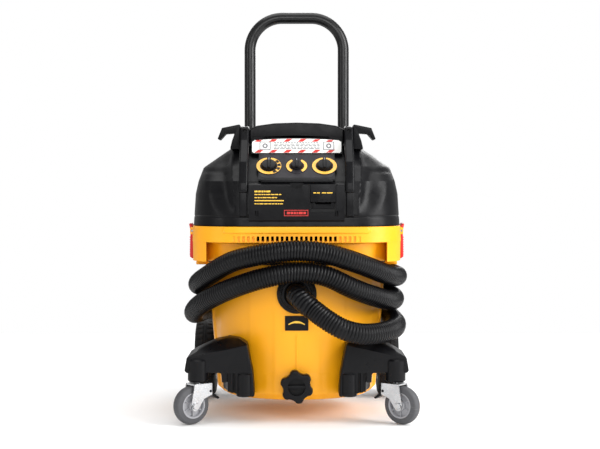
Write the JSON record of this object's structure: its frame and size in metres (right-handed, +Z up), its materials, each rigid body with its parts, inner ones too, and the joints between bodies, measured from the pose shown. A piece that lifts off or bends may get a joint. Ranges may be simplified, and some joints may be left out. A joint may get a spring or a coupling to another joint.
{
  "type": "shop vacuum",
  "caption": "Wheeled shop vacuum: round yellow tank on castors, black motor head with sloping dial panel, telescoping U handle and a ribbed hose wound round the tank.",
  "frame": {"origin": "on the floor, under the middle of the machine's own box (hose left out)", "axes": "+Z up, front of the machine faces -Y, +X is the machine's right-hand side seen from the front"},
  "size_m": [0.4796, 0.5444, 0.8535],
  "materials": {
    "yellow_plastic": "satin moulded, faintly textured",
    "dial_yellow": "matt printed",
    "black_plastic": "fine spark-eroded grain",
    "hose_plastic": "semi-matt ribbed",
    "black_rubber": "matt",
    "black_steel": "satin black powder coat",
    "grey_tyre": "matt grey rubber",
    "grey_hub": "satin grey",
    "black_tyre": "matt",
    "red_plastic": "satin moulded",
    "label_white": "printed sheet, red diagonal stripes",
    "zinc_steel": "bright zinc plate",
    "motor_metal": "cast",
    "filter_media": "pleated",
    "circuit": "solder mask"
  },
  "bodies": {
    "tank": {"tank": "yellow_plastic", "tank_seal": "black_rubber", "badge": "black_plastic", "castor_arm_left": "black_plastic", "castor_arm_right": "black_plastic", "rear_chassis": "black_plastic", "rear_axle": "zinc_steel", "inlet_flange": "black_plastic", "hose_cuff": "black_rubber", "hose": "hose_plastic", "hose_tool_cuff": "black_rubber"},
    "inlet_lock": {"inlet_lock_ring": "black_plastic"},
    "drain_carrier": {"drain_seal": "black_rubber"},
    "drain_knob": {"drain_knob": "black_plastic"},
    "head": {"head_ring": "yellow_plastic", "head_cover": "black_plastic", "motor_housing": "black_plastic", "circuit_board": "circuit", "cable_gland": "black_rubber", "control_console": "black_plastic", "front_panel": "black_plastic", "outlet_socket": "black_plastic", "class_label": "label_white", "grab_handle": "black_plastic", "pillar_left": "black_plastic", "pillar_right": "black_plastic", "cord_hook_left": "black_plastic", "cord_hook_right": "black_plastic", "hose_size_scale": "dial_yellow", "cleaning_mode_scale": "dial_yellow", "suction_power_scale": "dial_yellow", "handle_guide_left": "black_plastic", "handle_guide_right": "black_plastic", "filter_left": "filter_media", "filter_right": "filter_media", "latch_pin_left": "zinc_steel", "latch_pin_right": "zinc_steel"},
    "fan": {"fan_rotor": "motor_metal"},
    "push_handle": {"push_handle": "black_steel"},
    "latch_left": {"latch_left": "red_plastic"},
    "latch_right": {"latch_right": "red_plastic"},
    "outlet_flap": {"outlet_flap": "black_plastic"},
    "hose_size_knob": {"hose_size_knob": "black_plastic"},
    "cleaning_mode_knob": {"cleaning_mode_knob": "black_plastic"},
    "suction_power_knob": {"suction_power_knob": "black_plastic"},
    "castor_left": {"castor_fork_left": "zinc_steel", "castor_axle_left": "zinc_steel"},
    "castor_wheel_left": {"castor_tyre_left": "grey_tyre", "castor_hub_left": "grey_hub"},
    "brake_left": {"brake_pedal_left": "black_plastic"},
    "rear_wheel_left": {"rear_tyre_left": "black_tyre", "rear_hub_left": "black_plastic"},
    "castor_right": {"castor_fork_right": "zinc_steel", "castor_axle_right": "zinc_steel"},
    "castor_wheel_right": {"castor_tyre_right": "grey_tyre", "castor_hub_right": "grey_hub"},
    "brake_right": {"brake_pedal_right": "black_plastic"},
    "rear_wheel_right": {"rear_tyre_right": "black_tyre", "rear_hub_right": "black_plastic"}
  },
  "joints": [
    {"name": "head_lift", "type": "slide", "parent": "tank", "child": "head", "axis": [0, 0, 1], "range_m": [0, 0.25]},
    {"name": "push_handle_slide", "type": "slide", "parent": "head", "child": "push_handle", "axis": [0, 0, 1], "range_m": [-0.17, 0]},
    {"name": "latch_left_swing", "type": "hinge", "parent": "head", "child": "latch_left", "pos_m": [-0.2166, -0.01, 0.372], "axis": [0, 1, 0], "range_deg": [0, 35]},
    {"name": "latch_right_swing", "type": "hinge", "parent": "head", "child": "latch_right", "pos_m": [0.2166, -0.01, 0.372], "axis": [0, -1, 0], "range_deg": [0, 35]},
    {"name": "outlet_flap_swing", "type": "hinge", "parent": "head", "child": "outlet_flap", "pos_m": [0.0515, -0.2145, 0.4665], "axis": [-1, 0, 0], "range_deg": [0, 90], "stiffness_Nm_per_rad": 0.01, "springref_deg": -17.19},
    {"name": "fan_spin", "type": "hinge", "parent": "head", "child": "fan", "pos_m": [0, 0.01, 0.38], "axis": [0, 0, 1], "continuous": true},
    {"name": "inlet_lock_turn", "type": "hinge", "parent": "tank", "child": "inlet_lock", "pos_m": [0, -0.22, 0.254], "axis": [0, -1, 0], "range_deg": [0, 45]},
    {"name": "drain_unscrew", "type": "slide", "parent": "tank", "child": "drain_carrier", "axis": [0, -1, 0], "range_m": [0, 0.008]},
    {"name": "drain_knob_turn", "type": "hinge", "parent": "drain_carrier", "child": "drain_knob", "pos_m": [0, -0.21, 0.072], "axis": [0, -1, 0], "range_deg": [0, 720]},
    {"name": "hose_size_turn", "type": "hinge", "parent": "head", "child": "hose_size_knob", "pos_m": [-0.0548, -0.178, 0.503], "axis": [0, -0.6691, 0.7431], "range_deg": [-135, 135]},
    {"name": "cleaning_mode_turn", "type": "hinge", "parent": "head", "child": "cleaning_mode_knob", "pos_m": [0, -0.178, 0.503], "axis": [0, -0.6691, 0.7431], "range_deg": [-90, 90]},
    {"name": "suction_power_turn", "type": "hinge", "parent": "head", "child": "suction_power_knob", "pos_m": [0.0548, -0.178, 0.503], "axis": [0, -0.6691, 0.7431], "range_deg": [-135, 135]},
    {"name": "castor_left_swivel", "type": "hinge", "parent": "tank", "child": "castor_left", "pos_m": [-0.193, -0.21, 0.1], "axis": [0, 0, 1], "continuous": true},
    {"name": "castor_left_roll", "type": "hinge", "parent": "castor_left", "child": "castor_wheel_left", "pos_m": [-0.20594, -0.21941, 0.0375], "axis": [0.5882, -0.8087, 0], "continuous": true},
    {"name": "brake_left_press", "type": "hinge", "parent": "castor_left", "child": "brake_left", "pos_m": [-0.17763, -0.19882, 0.064], "axis": [-0.5882, 0.8087, 0], "range_deg": [0, 12]},
    {"name": "rear_wheel_left_roll", "type": "hinge", "parent": "tank", "child": "rear_wheel_left", "pos_m": [-0.2005, 0.163, 0.085], "axis": [1, 0, 0], "continuous": true},
    {"name": "castor_right_swivel", "type": "hinge", "parent": "tank", "child": "castor_right", "pos_m": [0.193, -0.21, 0.1], "axis": [0, 0, 1], "continuous": true},
    {"name": "castor_right_roll", "type": "hinge", "parent": "castor_right", "child": "castor_wheel_right", "pos_m": [0.20594, -0.21941, 0.0375], "axis": [0.5882, 0.8087, 0], "continuous": true},
    {"name": "brake_right_press", "type": "hinge", "parent": "castor_right", "child": "brake_right", "pos_m": [0.17763, -0.19882, 0.064], "axis": [-0.5882, -0.8087, 0], "range_deg": [0, 12]},
    {"name": "rear_wheel_right_roll", "type": "hinge", "parent": "tank", "child": "rear_wheel_right", "pos_m": [0.2005, 0.163, 0.085], "axis": [1, 0, 0], "continuous": true}
  ],
  "couplings": [
    {"joint": "drain_unscrew", "follows": "drain_knob_turn", "m_per_rad": 0.00063655}
  ]
}
